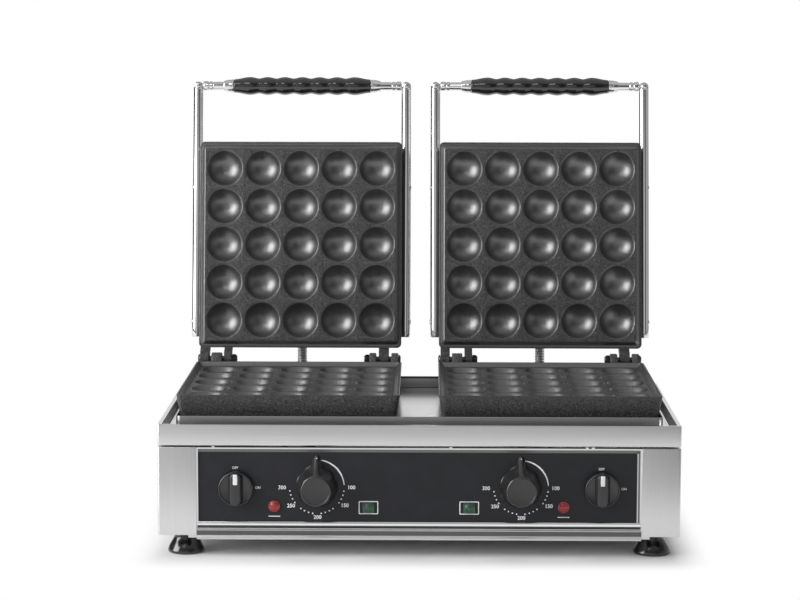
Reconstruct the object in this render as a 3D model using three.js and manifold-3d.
// Double bubble waffle maker: two hinged cooking units side by side on one steel housing.
// Millimetres, +X to the right, +Y to the rear, +Z up. The origin is under the middle of the model's box.
// The lids are drawn shut, about their hinge axis, and stand open at rest.
import * as THREE from "three";
import { mergeVertices } from "three/addons/utils/BufferGeometryUtils.js";
import Module from "manifold-3d";

const wasm = await Module();
wasm.setup();

// Housing
const DECK_Z = 144.5;
const SEAM_Z = 120.5;
const CASING_BOTTOM_Z = 24;
const SHEET = 1.2;
const CLEARANCE = 0.3;
const FOLD_RADIUS = 2.4;
const FRONT_FLANGE = 41.5;
const REAR_FLANGE = 25;
const TOP_FLANGE = 12;
const RIM_WIDTH = 5;
const CHANNEL_Z = 130;
const DRIP_CHANNEL_WIDTH = 11.5;
const OVERRUN = 4;

// Plate bed
const BED_FRONT_Y = 35;
const BED_MARGIN = 2.7;
const BED_FLOOR_Z = 138;
const BED_LIP_Z = 147.6;
const BED_CORNER = 6.5;

// Front
const WINDOW_EDGE = 2;
const WINDOW_TOP_Z = 114.5;
const WINDOW_BOTTOM_Z = 39.2;
const PANEL_LAP = 9;
const PANEL_THICKNESS = 1.5;
const FOLD_STRIP_HEIGHT = 6.4;
const RAIL_TOP_Z = 30.7;
const RAIL_BOTTOM_Z = 19.6;
const RAIL_PROUD = 1.5;
const BASE_UPTURN = 18;

// Feet
const FOOT_BASE_RADIUS = 19.5;
const FOOT_TOP_RADIUS = 13.5;
const FOOT_ROUND = 3;
const FOOT_FROM_SIDE = 28.5;
const FOOT_FROM_FRONT = 30;
const FOOT_FROM_REAR = 32;
const FOOT_STUD_RADIUS = 3;
const FOOT_STUD_LENGTH = 8;

// Cooking plates
const UNIT_GAP = 42.2;
const PLATE_WIDTH = 242.4;
const PLATE_DEPTH = 243;
const PLATE_CORNER = 5.5;
const DRAFT = 0.256;
const LOWER_PLATE_HEIGHT = 31.8;
const UPPER_PLATE_HEIGHT = 28;
const RIM_WALL = 5.4;
const RIM_HEIGHT = 5;
const FIELD_HEIGHT = 4;
const FIELD_GAP = 2.2;
const CUP_COUNT = 5;
const CUP_WEB = 4.4;
const CUP_BORDER = 2.8;
const CUP_DEPTH = 13.5;
const CUP_WAIST_SHARE = 0.74;
const CUP_WAIST_DEPTH_SHARE = 0.68;
const CUP_SIDES = 10;
const SKIRT_WALL = 7;

// Hinges
const HINGE_Z = 170.8;
const HINGE_SETBACK = 14.5;
const LID_OPEN_ANGLE = THREE.MathUtils.degToRad(100);
const LUG_RADIUS = 7.5;
const LUG_HOLE_RADIUS = 4;
const LUG_HEEL = 15;
const PIN_RADIUS = 3.4;
const PIN_HEAD_RADIUS = 5.6;
const PIN_HEAD_LENGTH = 2.6;
const PIN_NUT_LENGTH = 6;
const OUTER_LUG = 11;
const INNER_LUG = 9;
const TONGUE = 12.2;
const TONGUE_GAP = 2.6;
const LEFT_FORK_INSET = 3.2;
const SLIM_LUG = 8.2;
const SLIM_TONGUE = 12;
const SLIM_GAP = 2.9;
const RIGHT_FORK_INSET = 38.8;

// Lid covers
const COVER_HEIGHT = 21.7;
const COVER_INSET = 8;
const COVER_ROUND = 4;
const VENT_LENGTH = 60;
const VENT_WIDTH = 4;
const VENT_PITCH = 14;
const VENT_ROWS = 4;

// Arms and handles
const ARM_GAP = 4.8;
const ARM_RADIUS = 5.7;
const ARM_LEVEL = 22;
const ARM_START = 26.6;
const ARM_ROUND_STEPS = 2;
const HANDLE_BEYOND = 70.8;
const BOSS_RADIUS = 4.6;
const BOSS_PLACE_SHARES = [0.12551, 0.78807];
const SPIGOT_RADIUS = 3;
const SPIGOT_DEPTH = 3.5;
const ROD_RADIUS = 4.9;
const COLLAR_RADIUS = 5.5;
const COLLAR_LENGTH = 4;
const GRIP_LENGTH = 164;
const GRIP_RADIUS = 11;
const GRIP_NECK_RADIUS = 9.15;
const GRIP_END_RADIUS = 8.1;
const GRIP_SWELLS = 7;
const GRIP_PITCH = 20.77;
const GRIP_STEPS = 4;
const GRIP_SIDES = 10;
const FERRULE_LENGTH = 11.7;
const FERRULE_RADIUS = 7.8;

// Heaters
const HEATER_RADIUS = 3.2;
const HEATER_SIDES = 5;
const HEATER_FROM_EDGE = 29.2;
const HEATER_STEPS = 32;
const HEATER_ROUTE_SHARES = [
  [0.65, 1],
  [0.93, 0.9],
  [1, 0.6],
  [1, -0.65],
  [0.72, -1],
  [0.43, -0.65],
  [0.43, 0.1],
];
const HEATER_CROWN_SHARE = 0.5;
const HEATER_LEG_X = 16;
const HEATER_LEG_DROP = 22;
const UPPER_LEG_RISE = 9;
const LEG_BEND_SHARE = 0.45;
const LEG_EASE_SHARE = 0.04;
const LEG_HOLE_RADIUS = 13;

// Conduits
const CONDUIT_RADIUS = 5.9;
const CONDUIT_ROOT_RADIUS = 5;
const CONDUIT_BORE_RADIUS = 2.4;
const CONDUIT_RIB_COUNT = 35;
const BORE_RING_STEP_COUNT = 5;
const RIB_SIDES = 8;
const LID_GLAND_X = 1;
const LID_GLAND_LEVEL = 36.6;
const BASE_GLAND_X = 22;
const BASE_GLAND_Z = 58;
const GLAND_COLLAR_RADIUS = 7;
const GLAND_COLLAR_LENGTH = 4;
const GLAND_NECK_RADIUS = 5;
const GLAND_NUT_RADIUS = 8;
const GLAND_NUT_LENGTH = 3;
const BASE_COLLAR_LENGTH = 10;
const CONDUIT_LID_BEND_LENGTH = 60;
const CONDUIT_BASE_BEND_LENGTH = 90;
const GLAND_SIDES = 8;

// Knobs, switches and thermostats
const SWITCH_PLACE_SHARE = 0.82875;
const SWITCH_Z = 75.5;
const SWITCH_KNOB_RADIUS = 18.5;
const SWITCH_DISC_HEIGHT = 8;
const SWITCH_BAR_WIDTH = 14.6;
const SWITCH_BAR_LENGTH = 36;
const SWITCH_BAR_HEIGHT = 13;
const THERMOSTAT_PLACE_SHARE = 0.46216;
const THERMOSTAT_Z = 76.8;
const SKIRT_RADIUS = 23.2;
const SKIRT_HEIGHT = 4;
const POINTER_REACH = 35;
const POINTER_WIDTH = 9;
const FLUTED_RADIUS = 21;
const FLUTED_TOP_RADIUS = 16.2;
const FLUTED_HEIGHT = 26;
const FLUTE_COUNT = 9;
const FLUTE_STEPS = 3;
const FLUTE_DEPTH = 1.1;
const KNOB_GAP = 0.8;
const SPINDLE_RADIUS = 3;
const SPINDLE_LENGTH = 22;
const SPINDLE_PLAY = 0.4;
const BUSHING_RADIUS = 4.6;
const SWITCH_BODY_WIDTH = 34;
const SWITCH_BODY_DEPTH = 32;
const THERMOSTAT_BODY_WIDTH = 42;
const THERMOSTAT_BODY_DEPTH = 26;
const BODY_ROUND = 3;
const KNOB_SIDES = 18;

// Lamps
const RED_LAMP_PLACE_SHARE = 0.65539;
const RED_LAMP_Z = 55.7;
const GREEN_LAMP_PLACE_SHARE = 0.22833;
const GREEN_LAMP_Z = 54.3;
const LAMP_RADIUS = 6.4;
const LAMP_PROUD = 3;
const LAMP_CROWN_SHARE = 0.6;
const LAMP_NECK_RADIUS = 4.8;
const LAMP_BODY_RADIUS = 6;
const LAMP_BODY_LENGTH = 16;

// Inside and rear
const TERMINAL_WIDTH = 62;
const TERMINAL_DEPTH = 24;
const TERMINAL_HEIGHT = 18;
const TERMINAL_FROM_GLAND = 155;
const TERMINAL_Y = 215;
const TERMINAL_WAYS = 4;
const TERMINAL_HOLE_RADIUS = 3;
const CABLE_GLAND_FROM_SIDE = 65;
const CABLE_GLAND_Z = 52;
const CABLE_GLAND_RADIUS = 11;
const CABLE_GLAND_NECK_RADIUS = 8;
const CABLE_GLAND_BORE_RADIUS = 4.2;
const CABLE_GLAND_LENGTH = 16;
const LOUVRE_COUNT = 7;
const LOUVRE_WIDTH = 4;
const LOUVRE_HEIGHT = 40;
const LOUVRE_PITCH = 12;
const LOOM_RADIUS = 4;
const LOOM_Y = 140;
const LOOM_DROP = 9.5;
const LOOM_SIDES = 5;

// Roundness
const ROUND_SIDES = 8;
const LUG_SIDES = 10;
const FOOT_SIDES = 16;
const CORNER_STEPS = 2;
const MERGE_DISTANCE = 1e-4;

// Places worked out from the sizes above
const UNIT_X = (UNIT_GAP + PLATE_WIDTH) / 2;
const BED_WIDTH = 2 * UNIT_X + PLATE_WIDTH;
const BODY_WIDTH = BED_WIDTH + 2 * (DRIP_CHANNEL_WIDTH + RIM_WIDTH);
const BODY_DEPTH =
  BED_FRONT_Y + BED_MARGIN + PLATE_DEPTH + 2 * SHEET + 3 * CLEARANCE + RIM_WIDTH;
const HALF_WIDTH = BODY_WIDTH / 2;
const FLANGE_EDGE_X = HALF_WIDTH - FRONT_FLANGE;
const WINDOW_X = FLANGE_EDGE_X - WINDOW_EDGE;
const FRAME_Y = SHEET + CLEARANCE;
const PANEL_FACE_Y = FRAME_Y + SHEET + CLEARANCE;
const PANEL_BACK_Y = PANEL_FACE_Y + PANEL_THICKNESS;
const SWITCH_X = WINDOW_X * SWITCH_PLACE_SHARE;
const THERMOSTAT_X = WINDOW_X * THERMOSTAT_PLACE_SHARE;
const RED_LAMP_X = WINDOW_X * RED_LAMP_PLACE_SHARE;
const GREEN_LAMP_X = WINDOW_X * GREEN_LAMP_PLACE_SHARE;
const CABLE_GLAND_X = CABLE_GLAND_FROM_SIDE - HALF_WIDTH;
const TERMINAL_X = CABLE_GLAND_X + TERMINAL_FROM_GLAND;
const REAR_PANEL_BACK_Y = BODY_DEPTH - SHEET - CLEARANCE;
const REAR_PANEL_FRONT_Y = REAR_PANEL_BACK_Y - SHEET;
const BASE_FLOOR_Z = RAIL_BOTTOM_Z + SHEET;
const SHEETS_FROM_Z = BASE_FLOOR_Z + CLEARANCE;
const CASING_TOP_Z = SEAM_Z - CLEARANCE;
const BED_REAR_Y = BODY_DEPTH - RIM_WIDTH - 2 * CLEARANCE;
const BED_BOTTOM_Z = CHANNEL_Z + CLEARANCE;
const LOWER_BOTTOM = BED_FLOOR_Z + CLEARANCE - HINGE_Z;
const LOWER_TOP = LOWER_BOTTOM + LOWER_PLATE_HEIGHT;
const HINGE_Y = BED_REAR_Y - SHEET - CLEARANCE + HINGE_SETBACK;
const PLATE_REAR = -HINGE_SETBACK;
const PLATE_FRONT = PLATE_REAR - PLATE_DEPTH;
const PLATE_MIDDLE = (PLATE_REAR + PLATE_FRONT) / 2;
const PLATE_SPAN = Math.min(PLATE_WIDTH, PLATE_DEPTH);
const CUPS_SPAN = PLATE_SPAN - 2 * (RIM_WALL + FIELD_GAP + CUP_BORDER);
const CUP_PITCH = (CUPS_SPAN + CUP_WEB) / CUP_COUNT;
const CUP_RADIUS = (CUP_PITCH - CUP_WEB) / 2;
const HEATER_RUN = PLATE_SPAN / 2 - HEATER_FROM_EDGE;
const LEFT_FORK_X = LEFT_FORK_INSET - PLATE_WIDTH / 2;
const RIGHT_FORK_X = PLATE_WIDTH / 2 - RIGHT_FORK_INSET;
const ARM_X = PLATE_WIDTH / 2 + ARM_GAP;
const HANDLE_REACH = HINGE_SETBACK + PLATE_DEPTH + HANDLE_BEYOND;
const LOWER_FIELD = LOWER_TOP - RIM_HEIGHT;
const HEATER_POCKET = 2 * HEATER_RADIUS + 2 * CLEARANCE;
const LOWER_HEATER_LEVEL = LOWER_BOTTOM + CLEARANCE + HEATER_RADIUS;
const UPPER_HEATER_LEVEL = UPPER_PLATE_HEIGHT - CLEARANCE - HEATER_RADIUS;
const COVER_LEVEL = UPPER_PLATE_HEIGHT + CLEARANCE;
const COVER_TOP = COVER_LEVEL + COVER_HEIGHT;
const COVER_REAR = PLATE_REAR - COVER_INSET;
const LOOM_Z = SWITCH_Z - LOOM_DROP;
const SIDES = [
  ["left", -1],
  ["right", 1],
];

// Materials
function finish(color, roughness, metalness) {
  return new THREE.MeshStandardMaterial({ color, roughness, metalness });
}
const STEEL = finish(0xc6c6c6, 0.35, 1);
const CHROME = finish(0xd8d8d8, 0.12, 1);
const CAST = finish(0x424244, 0.55, 0.4);
const BLACK_PANEL = finish(0x2c2c30, 0.5, 0);
const BLACK_KNOB = finish(0x141414, 0.4, 0);
const BLACK_GRIP = finish(0x0e0e0e, 0.25, 0);
const RUBBER = finish(0x101010, 0.45, 0);
const RED_LENS = finish(0x6c1214, 0.2, 0);
const GREEN_LENS = finish(0x14402a, 0.2, 0);
const HEATER_STEEL = finish(0x5c5a58, 0.5, 0.9);
const SWITCH_BODY = finish(0xd9d4c6, 0.6, 0);
const CERAMIC = finish(0xe8e4da, 0.4, 0);
const SLEEVE = finish(0xa8a49a, 0.8, 0);

// Solids from geometry, and pieces from solids
function solid(geometry) {
  const plain = geometry.index ? geometry.toNonIndexed() : geometry.clone();
  plain.deleteAttribute("normal");
  plain.deleteAttribute("uv");
  const merged = mergeVertices(plain, MERGE_DISTANCE);
  const corners = merged.index.array;
  const build = (triVerts) =>
    new wasm.Manifold(
      new wasm.Mesh({ numProp: 3, vertProperties: merged.attributes.position.array, triVerts }),
    );
  const made = build(new Uint32Array(corners));
  if (made.volume() > 0) return made;
  return build(new Uint32Array(corners).reverse());
}

function join(first, ...others) {
  return others.reduce((whole, next) => whole.add(next), first);
}

function cut(whole, ...tools) {
  return tools.reduce((rest, tool) => rest.subtract(tool), whole);
}

function addPiece(parent, name, made, material) {
  const data = made.getMesh();
  const geometry = new THREE.BufferGeometry()
    .setAttribute("position", new THREE.BufferAttribute(data.vertProperties, 3))
    .setIndex(new THREE.BufferAttribute(data.triVerts, 1));
  geometry.computeVertexNormals();
  const mesh = new THREE.Mesh(geometry, material);
  mesh.name = name;
  parent.add(mesh);
}

function block(x0, x1, y0, y1, z0, z1) {
  const box = new THREE.BoxGeometry(Math.abs(x1 - x0), Math.abs(y1 - y0), Math.abs(z1 - z0));
  box.translate((x0 + x1) / 2, (y0 + y1) / 2, (z0 + z1) / 2);
  return solid(box);
}

// A ring of points round a rectangle with round corners, at one level
function roundedRing(x0, x1, y0, y1, z, radius) {
  const corners = [
    [x1 - radius, y1 - radius],
    [x0 + radius, y1 - radius],
    [x0 + radius, y0 + radius],
    [x1 - radius, y0 + radius],
  ];
  const ring = [];
  corners.forEach(([x, y], quarter) => {
    for (let i = 0; i <= CORNER_STEPS; i++) {
      const angle = (quarter + i / CORNER_STEPS) * (Math.PI / 2);
      ring.push(new THREE.Vector3(x + radius * Math.cos(angle), y + radius * Math.sin(angle), z));
    }
  });
  return ring;
}

function circleRing(x, y, z, radius, sides) {
  const ring = [];
  for (let i = 0; i < sides; i++) {
    const angle = (2 * Math.PI * i) / sides;
    ring.push(new THREE.Vector3(x + radius * Math.cos(angle), y + radius * Math.sin(angle), z));
  }
  return ring;
}

// A closed skin over a stack of rings with equal counts, with a flat cap at each end
function loft(rings) {
  const count = rings[0].length;
  const indices = [];
  rings.slice(1).forEach((ring, level) => {
    for (let i = 0; i < count; i++) {
      const a = level * count + i;
      const b = level * count + ((i + 1) % count);
      indices.push(a, b, b + count, a, b + count, a + count);
    }
  });
  const last = (rings.length - 1) * count;
  for (let i = 1; i < count - 1; i++) {
    indices.push(0, i + 1, i, last, last + i, last + i + 1);
  }
  const geometry = new THREE.BufferGeometry().setFromPoints(rings.flat());
  geometry.setIndex(indices);
  return solid(geometry);
}

function roundedBlock(x0, x1, y0, y1, z0, z1, radius) {
  return loft([roundedRing(x0, x1, y0, y1, z0, radius), roundedRing(x0, x1, y0, y1, z1, radius)]);
}

// A turned shape: pairs of radius and height, about +Z, then laid along another axis
const AXES = {
  x: new THREE.Matrix4().makeRotationY(Math.PI / 2),
  y: new THREE.Matrix4().makeRotationX(-Math.PI / 2),
  z: new THREE.Matrix4(),
};

function turned(pairs, axis, x, y, z, sides = ROUND_SIDES) {
  const outline = pairs.map(([radius, height]) => new THREE.Vector2(radius, height));
  const geometry = new THREE.LatheGeometry(outline, sides).rotateX(Math.PI / 2);
  return solid(geometry.applyMatrix4(AXES[axis]).translate(x, y, z));
}

function cylinder(radius, from, to, axis, x, y, z, sides = ROUND_SIDES) {
  const pairs = [
    [0, from],
    [radius, from],
    [radius, to],
    [0, to],
  ];
  return turned(pairs, axis, x, y, z, sides);
}

// A flat outline of Y and Z pairs, drawn out along X
const YZ_ALONG_X = new THREE.Matrix4().makeBasis(
  new THREE.Vector3(0, 1, 0),
  new THREE.Vector3(0, 0, 1),
  new THREE.Vector3(1, 0, 0),
);

function alongX(pairs, x0, x1) {
  const shape = new THREE.Shape(pairs.map(([y, z]) => new THREE.Vector2(y, z)));
  const geometry = new THREE.ExtrudeGeometry(shape, { depth: x1 - x0, bevelEnabled: false });
  return solid(geometry.applyMatrix4(YZ_ALONG_X).translate(x0, 0, 0));
}

// A round bar along a curve
function bar(points, radius, sides, steps) {
  const section = new THREE.Shape(
    circleRing(0, 0, 0, radius, sides).map((point) => new THREE.Vector2(point.x, point.y)),
  );
  const extrudePath = new THREE.CatmullRomCurve3(points, false, "centripetal");
  return solid(new THREE.ExtrudeGeometry(section, { steps, extrudePath, bevelEnabled: false }));
}

function point(x, y, z) {
  return new THREE.Vector3(x, y, z);
}

// Top tray: band, rim, inner wall and channel floor folded from one sheet
function topTray() {
  const shell = (inset, z0, z1, radius) =>
    roundedBlock(-HALF_WIDTH + inset, HALF_WIDTH - inset, inset, BODY_DEPTH - inset, z0, z1, radius);
  const outer = shell(0, SEAM_Z, DECK_Z, FOLD_RADIUS);
  const under = shell(SHEET, SEAM_Z + SHEET, DECK_Z - SHEET, FOLD_RADIUS - SHEET);
  const mouth = shell(TOP_FLANGE, SEAM_Z - OVERRUN, SEAM_Z + 2 * SHEET, FOLD_RADIUS);
  const tub = shell(RIM_WIDTH - SHEET, CHANNEL_Z - SHEET, DECK_Z, FOLD_RADIUS);
  const channel = shell(RIM_WIDTH, CHANNEL_Z, DECK_Z + OVERRUN, FOLD_RADIUS);
  const legHoles = SIDES.flatMap(([, side]) => heaterLegHoles(side, CHANNEL_Z));
  return cut(join(cut(outer, under, mouth), tub), channel, ...legHoles);
}

function heaterLegHoles(side, level) {
  return [-1, 1].map((leg) =>
    cylinder(
      LEG_HOLE_RADIUS,
      level - OVERRUN,
      level + OVERRUN,
      "z",
      side * UNIT_X + leg * HEATER_LEG_X,
      HINGE_Y + PLATE_MIDDLE + HEATER_RUN,
      0,
    ),
  );
}

// Plate bed: a pan on the channel floor, with a lip all round
function plateBed() {
  const half = BED_WIDTH / 2;
  const pan = (inset, z0, z1) =>
    roundedBlock(
      -half + inset,
      half - inset,
      BED_FRONT_Y + inset,
      BED_REAR_Y - inset,
      z0,
      z1,
      BED_CORNER - inset,
    );
  const legHoles = SIDES.flatMap(([, side]) => heaterLegHoles(side, BED_FLOOR_Z));
  return cut(
    pan(0, BED_BOTTOM_Z, BED_LIP_Z),
    pan(SHEET, BED_BOTTOM_Z - OVERRUN, BED_FLOOR_Z - SHEET),
    pan(SHEET, BED_FLOOR_Z, BED_LIP_Z + OVERRUN),
    ...legHoles,
  );
}

// Side casing: side wall with a front flange, a rear flange and a top flange
function sideCasing(side) {
  const shell = (inset, z0, z1, radius) =>
    roundedBlock(-HALF_WIDTH + inset, HALF_WIDTH - inset, inset, BODY_DEPTH - inset, z0, z1, radius);
  const outer = shell(0, CASING_BOTTOM_Z, CASING_TOP_Z, FOLD_RADIUS);
  const inner = shell(SHEET, CASING_BOTTOM_Z - OVERRUN, CASING_TOP_Z - SHEET, FOLD_RADIUS - SHEET);
  const mouth = shell(TOP_FLANGE, CASING_TOP_Z - 2 * SHEET, CASING_TOP_Z + OVERRUN, FOLD_RADIUS);
  const other = block(
    side * FLANGE_EDGE_X,
    -side * BODY_WIDTH,
    -OVERRUN,
    BODY_DEPTH + OVERRUN,
    0,
    CASING_TOP_Z + OVERRUN,
  );
  const rear = block(
    side * (HALF_WIDTH - REAR_FLANGE),
    -side * BODY_WIDTH,
    BODY_DEPTH - REAR_FLANGE,
    BODY_DEPTH + OVERRUN,
    0,
    CASING_TOP_Z + OVERRUN,
  );
  return cut(outer, inner, mouth, other, rear);
}

// Front frame: sheet behind the side flanges, with the panel's window and a fold under it
function frontFrame() {
  const half = FLANGE_EDGE_X + PANEL_LAP;
  const sheet = block(-half, half, FRAME_Y, FRAME_Y + SHEET, SHEETS_FROM_Z, CASING_TOP_Z - SHEET);
  const fold = block(
    -FLANGE_EDGE_X + CLEARANCE,
    FLANGE_EDGE_X - CLEARANCE,
    CLEARANCE,
    FRAME_Y + SHEET,
    WINDOW_BOTTOM_Z - FOLD_STRIP_HEIGHT,
    WINDOW_BOTTOM_Z,
  );
  const brow = block(-FLANGE_EDGE_X, FLANGE_EDGE_X, FRAME_Y, TOP_FLANGE, CASING_TOP_Z - SHEET, CASING_TOP_Z);
  const window = block(
    -WINDOW_X,
    WINDOW_X,
    -OVERRUN,
    OVERRUN,
    WINDOW_BOTTOM_Z,
    WINDOW_TOP_Z,
  );
  return cut(join(sheet, fold, brow), window);
}

// Control panel: black plate behind the window, with a hole for each part that comes through
function controlPanel() {
  const half = WINDOW_X + PANEL_LAP;
  const plate = block(
    -half,
    half,
    PANEL_FACE_Y,
    PANEL_BACK_Y,
    WINDOW_BOTTOM_Z - SHEET,
    WINDOW_TOP_Z + SHEET,
  );
  const hole = (radius, x, z) =>
    cylinder(radius + CLEARANCE, -OVERRUN, OVERRUN, "y", x, PANEL_FACE_Y, z);
  const holes = [-1, 1].flatMap((side) => [
    hole(BUSHING_RADIUS, side * SWITCH_X, SWITCH_Z),
    hole(BUSHING_RADIUS, side * THERMOSTAT_X, THERMOSTAT_Z),
    hole(LAMP_NECK_RADIUS, side * RED_LAMP_X, RED_LAMP_Z),
    hole(LAMP_NECK_RADIUS, side * GREEN_LAMP_X, GREEN_LAMP_Z),
  ]);
  return cut(plate, ...holes);
}

// Base plate: floor with upturned sides, and the rail between the front flanges
function basePlate() {
  const half = HALF_WIDTH - SHEET - CLEARANCE;
  const corner = FOLD_RADIUS;
  const floor = roundedBlock(-half, half, FRAME_Y, REAR_PANEL_BACK_Y, RAIL_BOTTOM_Z, BASE_FLOOR_Z, corner);
  const upturn = (side) =>
    block(
      side * half,
      side * (half - SHEET),
      FRAME_Y + corner,
      REAR_PANEL_FRONT_Y - corner,
      RAIL_BOTTOM_Z,
      BASE_FLOOR_Z + BASE_UPTURN,
    );
  const railHalf = FLANGE_EDGE_X - CLEARANCE;
  const railFront = -RAIL_PROUD;
  const tongue = block(-railHalf, railHalf, railFront, 2 * FRAME_Y, RAIL_BOTTOM_Z, BASE_FLOOR_Z);
  const rail = block(-railHalf, railHalf, railFront, railFront + SHEET, RAIL_BOTTOM_Z, RAIL_TOP_Z);
  const studHoles = footPlaces().map(([, x, y]) =>
    cylinder(FOOT_STUD_RADIUS + CLEARANCE, -OVERRUN, OVERRUN, "z", x, y, RAIL_BOTTOM_Z),
  );
  return cut(join(floor, upturn(-1), upturn(1), tongue, rail), ...studHoles);
}

function footPlaces() {
  const x = HALF_WIDTH - FOOT_FROM_SIDE;
  return SIDES.flatMap(([word, side]) => [
    ["front_" + word + "_foot", side * x, FOOT_FROM_FRONT],
    ["rear_" + word + "_foot", side * x, BODY_DEPTH - FOOT_FROM_REAR],
  ]);
}

// Foot: flared, with a round lower edge and a stud through the base plate
function foot(x, y) {
  const top = RAIL_BOTTOM_Z - CLEARANCE;
  const outline = [
    [0, 0],
    [FOOT_BASE_RADIUS - FOOT_ROUND / 2, 0],
    [FOOT_BASE_RADIUS, FOOT_ROUND / 2],
    [FOOT_BASE_RADIUS - FOOT_ROUND / 4, FOOT_ROUND],
    [FOOT_TOP_RADIUS, top],
    [FOOT_STUD_RADIUS, top],
    [FOOT_STUD_RADIUS, top + FOOT_STUD_LENGTH],
    [0, top + FOOT_STUD_LENGTH],
  ];
  return turned(outline, "z", x, y, 0, FOOT_SIDES);
}

// Rear panel: sheet behind the rear flanges, with vents and gland holes
function rearPanel() {
  const half = HALF_WIDTH - REAR_FLANGE / 2;
  const sheet = block(
    -half,
    half,
    REAR_PANEL_FRONT_Y,
    REAR_PANEL_BACK_Y,
    SHEETS_FROM_Z,
    CASING_TOP_Z - SHEET - CLEARANCE,
  );
  const middle = (REAR_PANEL_FRONT_Y + REAR_PANEL_BACK_Y) / 2;
  const through = (radius, x, z) =>
    cylinder(radius + CLEARANCE, -OVERRUN, OVERRUN, "y", x, middle, z);
  const vents = [];
  for (let i = 0; i < LOUVRE_COUNT; i++) {
    const x = (i - (LOUVRE_COUNT - 1) / 2) * LOUVRE_PITCH;
    const z = (SEAM_Z + CASING_BOTTOM_Z) / 2;
    vents.push(
      block(
        x - LOUVRE_WIDTH / 2,
        x + LOUVRE_WIDTH / 2,
        middle - OVERRUN,
        middle + OVERRUN,
        z - LOUVRE_HEIGHT / 2,
        z + LOUVRE_HEIGHT / 2,
      ),
    );
  }
  return cut(
    sheet,
    ...vents,
    through(CABLE_GLAND_NECK_RADIUS, CABLE_GLAND_X, CABLE_GLAND_Z),
    ...[-1, 1].map((side) => through(GLAND_NECK_RADIUS, side * UNIT_X + BASE_GLAND_X, BASE_GLAND_Z)),
  );
}

// A cast plate's body: a drafted slab whose wide face is the parting face
function castSlab(wide, narrow) {
  const inset = Math.abs(wide - narrow) * DRAFT;
  const ring = (level, shrink) =>
    roundedRing(
      -PLATE_WIDTH / 2 + shrink,
      PLATE_WIDTH / 2 - shrink,
      PLATE_FRONT + shrink,
      PLATE_REAR - shrink,
      level,
      PLATE_CORNER,
    );
  const rings = [ring(wide, 0), ring(narrow, inset)];
  return loft(wide < narrow ? rings : rings.reverse());
}

function centredSlab(margin, z0, z1, taper) {
  const ring = (level, shrink) =>
    roundedRing(
      -PLATE_WIDTH / 2 + shrink,
      PLATE_WIDTH / 2 - shrink,
      PLATE_FRONT + shrink,
      PLATE_REAR - shrink,
      level,
      PLATE_CORNER,
    );
  return loft([ring(z0, margin + taper), ring(z1, margin)]);
}

// The round recesses: a grid of cups that go down (or up) from a level
function cups(level, direction) {
  const places = [];
  for (let column = 0; column < CUP_COUNT; column++) {
    for (let row = 0; row < CUP_COUNT; row++) {
      const x = (column - (CUP_COUNT - 1) / 2) * CUP_PITCH;
      const y = PLATE_MIDDLE + (row - (CUP_COUNT - 1) / 2) * CUP_PITCH;
      places.push([x, y]);
    }
  }
  const outline = [
    [0, -CLEARANCE * direction],
    [CUP_RADIUS, -CLEARANCE * direction],
    [CUP_RADIUS, 0],
    [CUP_RADIUS * CUP_WAIST_SHARE, CUP_DEPTH * CUP_WAIST_DEPTH_SHARE * direction],
    [0, CUP_DEPTH * direction],
  ];
  return places.map(([x, y]) => turned(outline, "z", x, y, level, CUP_SIDES));
}

// A lug: an eye round the hinge axis with a web to the plate's rear wall
function lug(x, width, web0, web1) {
  const inPlate = PLATE_REAR - SKIRT_WALL;
  const ring = [];
  for (let i = 0; i <= LUG_SIDES / 2; i++) {
    const angle = -Math.PI / 2 + (Math.PI * i) / (LUG_SIDES / 2);
    ring.push([LUG_RADIUS * Math.cos(angle), LUG_RADIUS * Math.sin(angle)]);
  }
  const outline = [...ring, [PLATE_REAR, web1], [inPlate, web1], [inPlate, web0], [PLATE_REAR, web0]];
  const eye = cylinder(LUG_HOLE_RADIUS, x - OVERRUN, x + width + OVERRUN, "x", 0, 0, 0);
  return cut(alongX(outline, x, x + width), eye);
}

// Where the lugs of one unit stand: the fork and the tongue of both hinges
const LEFT_TONGUE_X = LEFT_FORK_X + OUTER_LUG + TONGUE_GAP;
const LEFT_INNER_X = LEFT_TONGUE_X + TONGUE + TONGUE_GAP;
const RIGHT_TONGUE_X = RIGHT_FORK_X + SLIM_LUG + SLIM_GAP;
const RIGHT_OUTER_X = RIGHT_TONGUE_X + SLIM_TONGUE + SLIM_GAP;

function lowerPlate() {
  const webs = [LOWER_TOP - LUG_HEEL, LOWER_TOP];
  const body = join(
    castSlab(LOWER_TOP, LOWER_BOTTOM),
    lug(LEFT_TONGUE_X, TONGUE, ...webs),
    lug(RIGHT_FORK_X, SLIM_LUG, ...webs),
    lug(RIGHT_OUTER_X, SLIM_LUG, ...webs),
  );
  const recess = centredSlab(RIM_WALL, LOWER_FIELD, LOWER_TOP + CLEARANCE, CLEARANCE);
  const pocket = centredSlab(
    SKIRT_WALL + LOWER_PLATE_HEIGHT * DRAFT,
    LOWER_BOTTOM - OVERRUN,
    LOWER_BOTTOM + HEATER_POCKET,
    0,
  );
  return cut(body, recess, pocket, ...cups(LOWER_FIELD, -1));
}

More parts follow.
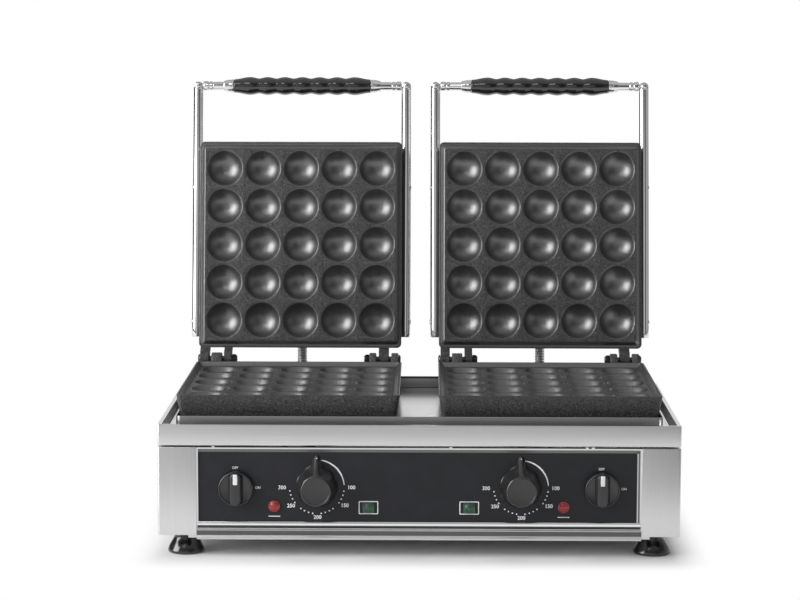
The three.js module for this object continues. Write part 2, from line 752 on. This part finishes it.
function upperPlate() {
  const webs = [CLEARANCE, LUG_HEEL];
  const field = centredSlab(RIM_WALL + FIELD_GAP, -FIELD_HEIGHT, CLEARANCE, CLEARANCE);
  const bosses = BOSS_PLACE_SHARES.map((share) =>
    cylinder(
      BOSS_RADIUS,
      -ARM_X + ARM_RADIUS + CLEARANCE,
      ARM_X - ARM_RADIUS - CLEARANCE,
      "x",
      0,
      PLATE_REAR - share * PLATE_DEPTH,
      ARM_LEVEL,
    ),
  );
  const body = join(
    castSlab(0, UPPER_PLATE_HEIGHT),
    field,
    ...bosses,
    lug(LEFT_FORK_X, OUTER_LUG, ...webs),
    lug(LEFT_INNER_X, INNER_LUG, ...webs),
    lug(RIGHT_TONGUE_X, SLIM_TONGUE, ...webs),
  );
  const pocket = centredSlab(
    SKIRT_WALL + UPPER_PLATE_HEIGHT * DRAFT,
    UPPER_PLATE_HEIGHT - HEATER_POCKET,
    UPPER_PLATE_HEIGHT + OVERRUN,
    0,
  );
  return cut(body, pocket, ...cups(-FIELD_HEIGHT, 1));
}

// Heater: one tube bent to an M, whose two ends turn out of the plate side by side
function heater(level, endLevel) {
  const at = (x, y, z) => point(x, PLATE_MIDDLE + y, z);
  const half = [
    at(HEATER_LEG_X, HEATER_RUN, endLevel),
    at(HEATER_LEG_X, HEATER_RUN, level + (endLevel - level) * LEG_BEND_SHARE),
    at(HEATER_LEG_X + 2 * HEATER_RADIUS, HEATER_RUN, level - (level - endLevel) * LEG_EASE_SHARE),
    at(HEATER_LEG_X + 4 * HEATER_RADIUS, HEATER_RUN, level),
    ...HEATER_ROUTE_SHARES.map(([x, y]) => at(x * HEATER_RUN, y * HEATER_RUN, level)),
  ];
  const crown = at(0, HEATER_CROWN_SHARE * HEATER_RUN, level);
  const other = half.map((place) => point(-place.x, place.y, place.z)).reverse();
  return bar([...half, crown, ...other], HEATER_RADIUS, HEATER_SIDES, HEATER_STEPS);
}

// Hinge pin: head at one end, shank through the lugs, nut at the other
function hingePin(x0, x1, headFirst) {
  const shank = cylinder(PIN_RADIUS, x0, x1, "x", 0, 0, 0);
  const headLength = headFirst ? PIN_HEAD_LENGTH : PIN_NUT_LENGTH;
  const nutLength = headFirst ? PIN_NUT_LENGTH : PIN_HEAD_LENGTH;
  const head = cylinder(PIN_HEAD_RADIUS, x0 - headLength, x0, "x", 0, 0, 0);
  const nut = cylinder(PIN_HEAD_RADIUS, x1, x1 + nutLength, "x", 0, 0, 0);
  return join(shank, head, nut);
}

// Lid cover: steel box over the back of the upper plate, open towards it
function lidCover() {
  const shell = (inset, z0) => {
    const margin = COVER_INSET + inset;
    const top = COVER_TOP - inset;
    const ring = (z, shrink) =>
      roundedRing(
        -PLATE_WIDTH / 2 + shrink,
        PLATE_WIDTH / 2 - shrink,
        PLATE_FRONT + shrink,
        PLATE_REAR - shrink,
        z,
        PLATE_CORNER,
      );
    return loft([ring(z0, margin), ring(top - COVER_ROUND, margin), ring(top, margin + COVER_ROUND)]);
  };
  const vents = [];
  for (let row = 0; row < VENT_ROWS; row++) {
    for (const column of [-1, 1]) {
      const x = column * VENT_LENGTH;
      const y = PLATE_MIDDLE + (row - (VENT_ROWS - 1) / 2) * VENT_PITCH;
      vents.push(
        block(
          x - VENT_LENGTH / 2,
          x + VENT_LENGTH / 2,
          y - VENT_WIDTH / 2,
          y + VENT_WIDTH / 2,
          COVER_TOP - OVERRUN,
          COVER_TOP + OVERRUN,
        ),
      );
    }
  }
  const glandHole = cylinder(
    GLAND_NECK_RADIUS + CLEARANCE,
    -OVERRUN,
    OVERRUN,
    "y",
    LID_GLAND_X,
    COVER_REAR,
    LID_GLAND_LEVEL,
  );
  return cut(shell(0, COVER_LEVEL), shell(SHEET, COVER_LEVEL - OVERRUN), ...vents, glandHole);
}

// Gland: nut inside, neck through the sheet, collar outside, bore for the leads
function gland(collarLength, x, y, z) {
  const nutFace = -SHEET - CLEARANCE;
  const outline = [
    [CONDUIT_BORE_RADIUS, nutFace - GLAND_NUT_LENGTH],
    [GLAND_NUT_RADIUS, nutFace - GLAND_NUT_LENGTH],
    [GLAND_NUT_RADIUS, nutFace],
    [GLAND_NECK_RADIUS, nutFace],
    [GLAND_NECK_RADIUS, CLEARANCE],
    [GLAND_COLLAR_RADIUS, CLEARANCE],
    [GLAND_COLLAR_RADIUS, CLEARANCE + collarLength],
    [CONDUIT_BORE_RADIUS, CLEARANCE + collarLength],
    [CONDUIT_BORE_RADIUS, nutFace - GLAND_NUT_LENGTH],
  ];
  return turned(outline, "y", x, y, z, GLAND_SIDES);
}

// Arm: round bar with a round top end and a blind seat for the handle rod
function arm(side) {
  const outline = [
    [0, ARM_START],
    [ARM_RADIUS, ARM_START],
    [ARM_RADIUS, HANDLE_REACH],
  ];
  for (let i = 1; i <= ARM_ROUND_STEPS; i++) {
    const angle = (i / ARM_ROUND_STEPS) * (Math.PI / 2);
    outline.push([ARM_RADIUS * Math.cos(angle), HANDLE_REACH + ARM_RADIUS * Math.sin(angle)]);
  }
  outline[outline.length - 1][0] = 0;
  const forward = outline.map(([radius, height]) => [radius, -height]);
  const stem = turned(forward, "y", side * ARM_X, 0, ARM_LEVEL);
  const inner = side * (ARM_X - ARM_RADIUS);
  const seat = cylinder(
    SPIGOT_RADIUS + CLEARANCE,
    Math.min(inner - side * OVERRUN, inner + side * SPIGOT_DEPTH),
    Math.max(inner - side * OVERRUN, inner + side * SPIGOT_DEPTH),
    "x",
    0,
    -HANDLE_REACH,
    ARM_LEVEL,
  );
  return cut(stem, seat);
}

// Handle rod: a spigot, a collar and the long rod, turned in one
function handleRod() {
  const face = ARM_X - ARM_RADIUS - CLEARANCE;
  const tip = face + SPIGOT_DEPTH;
  const outline = [
    [0, -tip],
    [SPIGOT_RADIUS, -tip],
    [SPIGOT_RADIUS, -face],
    [COLLAR_RADIUS, -face],
    [COLLAR_RADIUS, COLLAR_LENGTH - face],
    [ROD_RADIUS, COLLAR_LENGTH - face],
    [ROD_RADIUS, face - COLLAR_LENGTH],
    [COLLAR_RADIUS, face - COLLAR_LENGTH],
    [COLLAR_RADIUS, face],
    [SPIGOT_RADIUS, face],
    [SPIGOT_RADIUS, tip],
    [0, tip],
  ];
  return turned(outline, "x", 0, -HANDLE_REACH, ARM_LEVEL);
}

// Grip: seven swells along a bore for the rod, and a long taper to each end
function grip() {
  const bore = ROD_RADIUS + CLEARANCE;
  const end = GRIP_LENGTH / 2;
  const steps = (GRIP_SWELLS - 1) * GRIP_STEPS;
  const outline = [
    [bore, -end],
    [GRIP_END_RADIUS, -end],
  ];
  for (let i = 0; i <= steps; i++) {
    const wave = (1 + Math.cos((2 * Math.PI * i) / GRIP_STEPS)) / 2;
    const radius = GRIP_NECK_RADIUS + (GRIP_RADIUS - GRIP_NECK_RADIUS) * wave;
    outline.push([radius, ((i - steps / 2) / GRIP_STEPS) * GRIP_PITCH]);
  }
  outline.push([GRIP_END_RADIUS, end], [bore, end], [bore, -end]);
  return turned(outline, "x", 0, -HANDLE_REACH, ARM_LEVEL, GRIP_SIDES);
}

function ferrule(side) {
  const bore = ROD_RADIUS + CLEARANCE;
  const near = side * (GRIP_LENGTH / 2 + CLEARANCE);
  const far = near + side * FERRULE_LENGTH;
  const from = Math.min(near, far);
  const to = Math.max(near, far);
  const outline = [
    [bore, from],
    [FERRULE_RADIUS, from],
    [FERRULE_RADIUS, to],
    [bore, to],
    [bore, from],
  ];
  return turned(outline, "x", 0, -HANDLE_REACH, ARM_LEVEL);
}

// Conduit: ribbed metal hose with its bore, from the lid's gland to the gland of the housing
function conduit(start, startWay, end, endWay) {
  const straight = 2 * CONDUIT_RADIUS;
  const from = start.clone().addScaledVector(startWay, straight);
  const to = end.clone().addScaledVector(endWay, straight);
  const path = new THREE.CurvePath();
  path.add(new THREE.LineCurve3(start, from));
  path.add(
    new THREE.CubicBezierCurve3(
      from,
      from.clone().addScaledVector(startWay, CONDUIT_LID_BEND_LENGTH),
      to.clone().addScaledVector(endWay, CONDUIT_BASE_BEND_LENGTH),
      to,
    ),
  );
  path.add(new THREE.LineCurve3(to, end));
  const across = point(1, 0, 0);
  const ringAt = (share, radius) => {
    const centre = path.getPointAt(share);
    const way = path.getTangentAt(share);
    const first = across.clone().addScaledVector(way, -across.dot(way)).normalize();
    const second = way.clone().cross(first);
    return circleRing(0, 0, 0, radius, RIB_SIDES).map((spoke) =>
      centre.clone().addScaledVector(first, spoke.x).addScaledVector(second, spoke.y),
    );
  };
  const outer = [ringAt(0, CONDUIT_ROOT_RADIUS)];
  const margin = straight / path.getLength() / 2;
  for (let rib = 0; rib < CONDUIT_RIB_COUNT; rib++) {
    const pitch = (1 - 2 * margin) / CONDUIT_RIB_COUNT;
    outer.push(ringAt(margin + pitch * rib, CONDUIT_ROOT_RADIUS));
    outer.push(ringAt(margin + pitch * (rib + 1 / 2), CONDUIT_RADIUS));
  }
  outer.push(ringAt(1, CONDUIT_ROOT_RADIUS));
  const bore = [];
  for (let rib = 0; rib <= CONDUIT_RIB_COUNT; rib += BORE_RING_STEP_COUNT) {
    bore.push(ringAt(rib / CONDUIT_RIB_COUNT, CONDUIT_BORE_RADIUS));
  }
  return hose(outer, bore);
}

// A closed skin over an outer and an inner stack of rings, joined by a flat ring at each end
function hose(outer, bore) {
  const rings = [...outer, ...bore.reverse()];
  const indices = [];
  for (let level = 0; level < rings.length; level++) {
    const next = (level + 1) % rings.length;
    for (let i = 0; i < RIB_SIDES; i++) {
      const j = (i + 1) % RIB_SIDES;
      const a = level * RIB_SIDES + i;
      const b = level * RIB_SIDES + j;
      const c = next * RIB_SIDES + j;
      const d = next * RIB_SIDES + i;
      indices.push(a, b, c, a, c, d);
    }
  }
  const geometry = new THREE.BufferGeometry().setFromPoints(rings.flat());
  geometry.setIndex(indices);
  return solid(geometry);
}

// Controls are drawn flat: X to the right, Y up, Z out of the panel's face
function switchKnob() {
  const discTop = KNOB_GAP + SWITCH_DISC_HEIGHT;
  const disc = cylinder(SWITCH_KNOB_RADIUS, KNOB_GAP, discTop, "z", 0, 0, 0, KNOB_SIDES);
  const grasp = roundedBlock(
    -SWITCH_BAR_WIDTH / 2,
    SWITCH_BAR_WIDTH / 2,
    -SWITCH_BAR_LENGTH / 2,
    SWITCH_BAR_LENGTH / 2,
    KNOB_GAP,
    KNOB_GAP + SWITCH_BAR_HEIGHT,
    SWITCH_BAR_WIDTH / 3,
  );
  return join(disc, grasp, spindle());
}

function spindle() {
  return cylinder(SPINDLE_RADIUS, -SPINDLE_LENGTH, KNOB_GAP + SPINDLE_RADIUS, "z", 0, 0, 0);
}

function thermostatKnob() {
  const skirtTop = KNOB_GAP + SKIRT_HEIGHT;
  const skirt = cylinder(SKIRT_RADIUS, KNOB_GAP, skirtTop, "z", 0, 0, 0, KNOB_SIDES);
  const tip = POINTER_WIDTH / 5;
  const base = [
    [-POINTER_WIDTH, 0],
    [POINTER_WIDTH, 0],
    [tip, POINTER_REACH],
    [-tip, POINTER_REACH],
  ];
  const pointer = loft(
    [KNOB_GAP, skirtTop].map((z) => base.map(([x, y]) => point(x, y, z))),
  );
  const sides = FLUTE_COUNT * FLUTE_STEPS;
  const fluted = (z, radius) => {
    const ring = circleRing(0, 0, z, 1, sides);
    return ring.map((spoke, i) => {
      const wave = (1 - Math.cos((2 * Math.PI * i * FLUTE_COUNT) / sides)) / 2;
      const reach = radius - FLUTE_DEPTH * wave;
      return point(spoke.x * reach, spoke.y * reach, z);
    });
  };
  const grasp = loft([fluted(skirtTop - CLEARANCE, FLUTED_RADIUS), fluted(FLUTED_HEIGHT, FLUTED_TOP_RADIUS)]);
  return join(skirt, pointer, grasp, spindle());
}

// A switch or thermostat body behind the panel, with its bushing through the panel
function controlBody(width, depth) {
  const back = -PANEL_THICKNESS - CLEARANCE;
  const body = roundedBlock(-width / 2, width / 2, -width / 2, width / 2, back - depth, back, BODY_ROUND);
  const bushing = cylinder(BUSHING_RADIUS, back - CLEARANCE, 0, "z", 0, 0, 0);
  const bore = cylinder(
    SPINDLE_RADIUS + SPINDLE_PLAY,
    -SPINDLE_LENGTH - CLEARANCE,
    OVERRUN,
    "z",
    0,
    0,
    0,
  );
  return cut(join(body, bushing), bore);
}

// Lamp: domed lens in front of the panel, neck through it, body behind
function lamp() {
  const back = -PANEL_THICKNESS - CLEARANCE;
  const outline = [
    [0, back - LAMP_BODY_LENGTH],
    [LAMP_BODY_RADIUS, back - LAMP_BODY_LENGTH],
    [LAMP_BODY_RADIUS, back],
    [LAMP_NECK_RADIUS, back],
    [LAMP_NECK_RADIUS, CLEARANCE],
    [LAMP_RADIUS, CLEARANCE],
    [LAMP_RADIUS, LAMP_PROUD / 2],
    [LAMP_RADIUS * LAMP_CROWN_SHARE, LAMP_PROUD],
    [0, LAMP_PROUD],
  ];
  return turned(outline, "z", 0, 0, 0);
}

// Terminal block on the base floor, with one hole for each way
function terminalBlock() {
  const floor = BASE_FLOOR_Z + CLEARANCE;
  const body = block(
    TERMINAL_X - TERMINAL_WIDTH / 2,
    TERMINAL_X + TERMINAL_WIDTH / 2,
    TERMINAL_Y - TERMINAL_DEPTH / 2,
    TERMINAL_Y + TERMINAL_DEPTH / 2,
    floor,
    floor + TERMINAL_HEIGHT,
  );
  const holes = [];
  for (let way = 0; way < TERMINAL_WAYS; way++) {
    const x = TERMINAL_X + ((way + 1 / 2) / TERMINAL_WAYS - 1 / 2) * TERMINAL_WIDTH;
    holes.push(
      cylinder(
        TERMINAL_HOLE_RADIUS,
        -TERMINAL_DEPTH,
        TERMINAL_DEPTH,
        "y",
        x,
        TERMINAL_Y,
        floor + TERMINAL_HEIGHT / 3,
        LOOM_SIDES,
      ),
    );
  }
  return cut(body, ...holes);
}

// Wiring loom: a trunk with a branch to each control, each heater leg and the terminal block
function wiringLoom() {
  const run = (axis, from, to, x, y, z) =>
    cylinder(LOOM_RADIUS, Math.min(from, to), Math.max(from, to), axis, x, y, z, LOOM_SIDES);
  const controlBack = PANEL_BACK_Y + CLEARANCE + CLEARANCE;
  const legY = HINGE_Y + PLATE_MIDDLE + HEATER_RUN;
  const legEnd = HINGE_Z + LOWER_HEATER_LEVEL - HEATER_LEG_DROP - CLEARANCE;
  const blockTop = BASE_FLOOR_Z + 2 * CLEARANCE + TERMINAL_HEIGHT;
  const branches = [-1, 1].flatMap((side) => [
    run("y", controlBack + SWITCH_BODY_DEPTH, LOOM_Y, side * SWITCH_X, 0, LOOM_Z),
    run("y", controlBack + THERMOSTAT_BODY_DEPTH, LOOM_Y, side * THERMOSTAT_X, 0, LOOM_Z),
    ...[-1, 1].flatMap((leg) => {
      const x = side * UNIT_X + leg * HEATER_LEG_X;
      return [run("y", LOOM_Y, legY + LOOM_RADIUS, x, 0, LOOM_Z), run("z", LOOM_Z, legEnd, x, legY, 0)];
    }),
  ]);
  return join(
    run("x", -SWITCH_X - LOOM_RADIUS, SWITCH_X + LOOM_RADIUS, 0, LOOM_Y, LOOM_Z),
    run("y", LOOM_Y, TERMINAL_Y + LOOM_RADIUS, TERMINAL_X, 0, LOOM_Z),
    run("z", blockTop, LOOM_Z, TERMINAL_X, TERMINAL_Y, 0),
    ...branches,
  );
}

// Cable gland of the mains inlet, through the rear panel
function cableGland() {
  const inner = -SHEET - CLEARANCE;
  const outline = [
    [CABLE_GLAND_BORE_RADIUS, inner - GLAND_NUT_LENGTH],
    [CABLE_GLAND_RADIUS, inner - GLAND_NUT_LENGTH],
    [CABLE_GLAND_RADIUS, inner],
    [CABLE_GLAND_NECK_RADIUS, inner],
    [CABLE_GLAND_NECK_RADIUS, CLEARANCE],
    [CABLE_GLAND_RADIUS, CLEARANCE],
    [CABLE_GLAND_RADIUS, CABLE_GLAND_LENGTH / 2],
    [CABLE_GLAND_NECK_RADIUS, CABLE_GLAND_LENGTH],
    [CABLE_GLAND_BORE_RADIUS, CABLE_GLAND_LENGTH],
    [CABLE_GLAND_BORE_RADIUS, inner - GLAND_NUT_LENGTH],
  ];
  return turned(outline, "y", CABLE_GLAND_X, REAR_PANEL_BACK_Y, CABLE_GLAND_Z);
}

// Assembly: housing
const machine = new THREE.Group();
addPiece(machine, "top_tray", topTray(), STEEL);
addPiece(machine, "plate_bed", plateBed(), STEEL);
addPiece(machine, "front_frame", frontFrame(), STEEL);
addPiece(machine, "control_panel", controlPanel(), BLACK_PANEL);
addPiece(machine, "base_plate", basePlate(), STEEL);
addPiece(machine, "rear_panel", rearPanel(), STEEL);
addPiece(machine, "terminal_block", terminalBlock(), CERAMIC);
addPiece(machine, "wiring_loom", wiringLoom(), SLEEVE);
addPiece(machine, "cable_gland", cableGland(), BLACK_KNOB);
footPlaces().forEach(([name, x, y]) => addPiece(machine, name, foot(x, y), RUBBER));

// Assembly: each cooking unit, its lid about the hinge axis and its controls on the panel
for (const [word, side] of SIDES) {
  addPiece(machine, word + "_side_casing", sideCasing(side), STEEL);

  const seat = new THREE.Group();
  seat.position.set(side * UNIT_X, HINGE_Y, HINGE_Z);
  machine.add(seat);
  addPiece(seat, word + "_lower_plate", lowerPlate(), CAST);
  const lowerHeater = heater(LOWER_HEATER_LEVEL, LOWER_HEATER_LEVEL - HEATER_LEG_DROP);
  addPiece(seat, word + "_lower_heater", lowerHeater, HEATER_STEEL);
  const leftFar = LEFT_INNER_X + INNER_LUG + CLEARANCE;
  const rightFar = RIGHT_OUTER_X + SLIM_LUG + CLEARANCE;
  const leftPin = hingePin(LEFT_FORK_X - CLEARANCE, leftFar, true);
  const rightPin = hingePin(RIGHT_FORK_X - CLEARANCE, rightFar, false);
  addPiece(seat, word + "_unit_left_hinge_pin", leftPin, CHROME);
  addPiece(seat, word + "_unit_right_hinge_pin", rightPin, CHROME);

  const lid = new THREE.Group();
  lid.position.copy(seat.position);
  lid.rotation.x = -LID_OPEN_ANGLE;
  machine.add(lid);
  addPiece(lid, word + "_upper_plate", upperPlate(), CAST);
  const upperHeater = heater(UPPER_HEATER_LEVEL, UPPER_HEATER_LEVEL + UPPER_LEG_RISE);
  addPiece(lid, word + "_upper_heater", upperHeater, HEATER_STEEL);
  addPiece(lid, word + "_lid_cover", lidCover(), STEEL);
  addPiece(lid, word + "_handle_rod", handleRod(), CHROME);
  addPiece(lid, word + "_grip", grip(), BLACK_GRIP);
  for (const [end, endSide] of SIDES) {
    addPiece(lid, word + "_unit_" + end + "_arm", arm(endSide), CHROME);
    addPiece(lid, word + "_unit_" + end + "_ferrule", ferrule(endSide), CHROME);
  }
  const lidGland = gland(GLAND_COLLAR_LENGTH, LID_GLAND_X, COVER_REAR, LID_GLAND_LEVEL);
  addPiece(lid, word + "_lid_gland", lidGland, CHROME);

  const baseGlandX = side * UNIT_X + BASE_GLAND_X;
  const baseGland = gland(BASE_COLLAR_LENGTH, baseGlandX, REAR_PANEL_BACK_Y, BASE_GLAND_Z);
  addPiece(machine, word + "_base_gland", baseGland, CHROME);
  lid.updateMatrixWorld(true);
  const lidMouth = COVER_REAR + GLAND_COLLAR_LENGTH + 2 * CLEARANCE;
  const start = lid.localToWorld(point(LID_GLAND_X, lidMouth, LID_GLAND_LEVEL));
  const startWay = point(0, 1, 0).applyAxisAngle(point(1, 0, 0), -LID_OPEN_ANGLE);
  const end = point(baseGlandX, REAR_PANEL_BACK_Y + BASE_COLLAR_LENGTH + 2 * CLEARANCE, BASE_GLAND_Z);
  addPiece(machine, word + "_conduit", conduit(start, startWay, end, point(0, 1, 0)), CHROME);

  const controls = new THREE.Group();
  controls.position.y = PANEL_FACE_Y;
  controls.rotation.x = Math.PI / 2;
  machine.add(controls);
  const control = (name, made, material, x, z) => {
    const place = new THREE.Group();
    place.position.set(side * x, z, 0);
    controls.add(place);
    addPiece(place, word + name, made, material);
  };
  control("_switch_knob", switchKnob(), BLACK_KNOB, SWITCH_X, SWITCH_Z);
  const switchBody = controlBody(SWITCH_BODY_WIDTH, SWITCH_BODY_DEPTH);
  control("_rotary_switch", switchBody, SWITCH_BODY, SWITCH_X, SWITCH_Z);
  control("_thermostat_knob", thermostatKnob(), BLACK_KNOB, THERMOSTAT_X, THERMOSTAT_Z);
  const thermostatBody = controlBody(THERMOSTAT_BODY_WIDTH, THERMOSTAT_BODY_DEPTH);
  control("_thermostat", thermostatBody, SWITCH_BODY, THERMOSTAT_X, THERMOSTAT_Z);
  control("_red_lamp", lamp(), RED_LENS, RED_LAMP_X, RED_LAMP_Z);
  control("_green_lamp", lamp(), GREEN_LENS, GREEN_LAMP_X, GREEN_LAMP_Z);
}

// The origin goes under the middle of the whole model
machine.updateMatrixWorld(true);
const extent = new THREE.Box3().setFromObject(machine, true);
const part = new THREE.Group();
machine.position.y = -(extent.min.y + extent.max.y) / 2;
machine.position.x = -(extent.min.x + extent.max.x) / 2;
machine.position.z = -extent.min.z;
part.add(machine);

export default part;
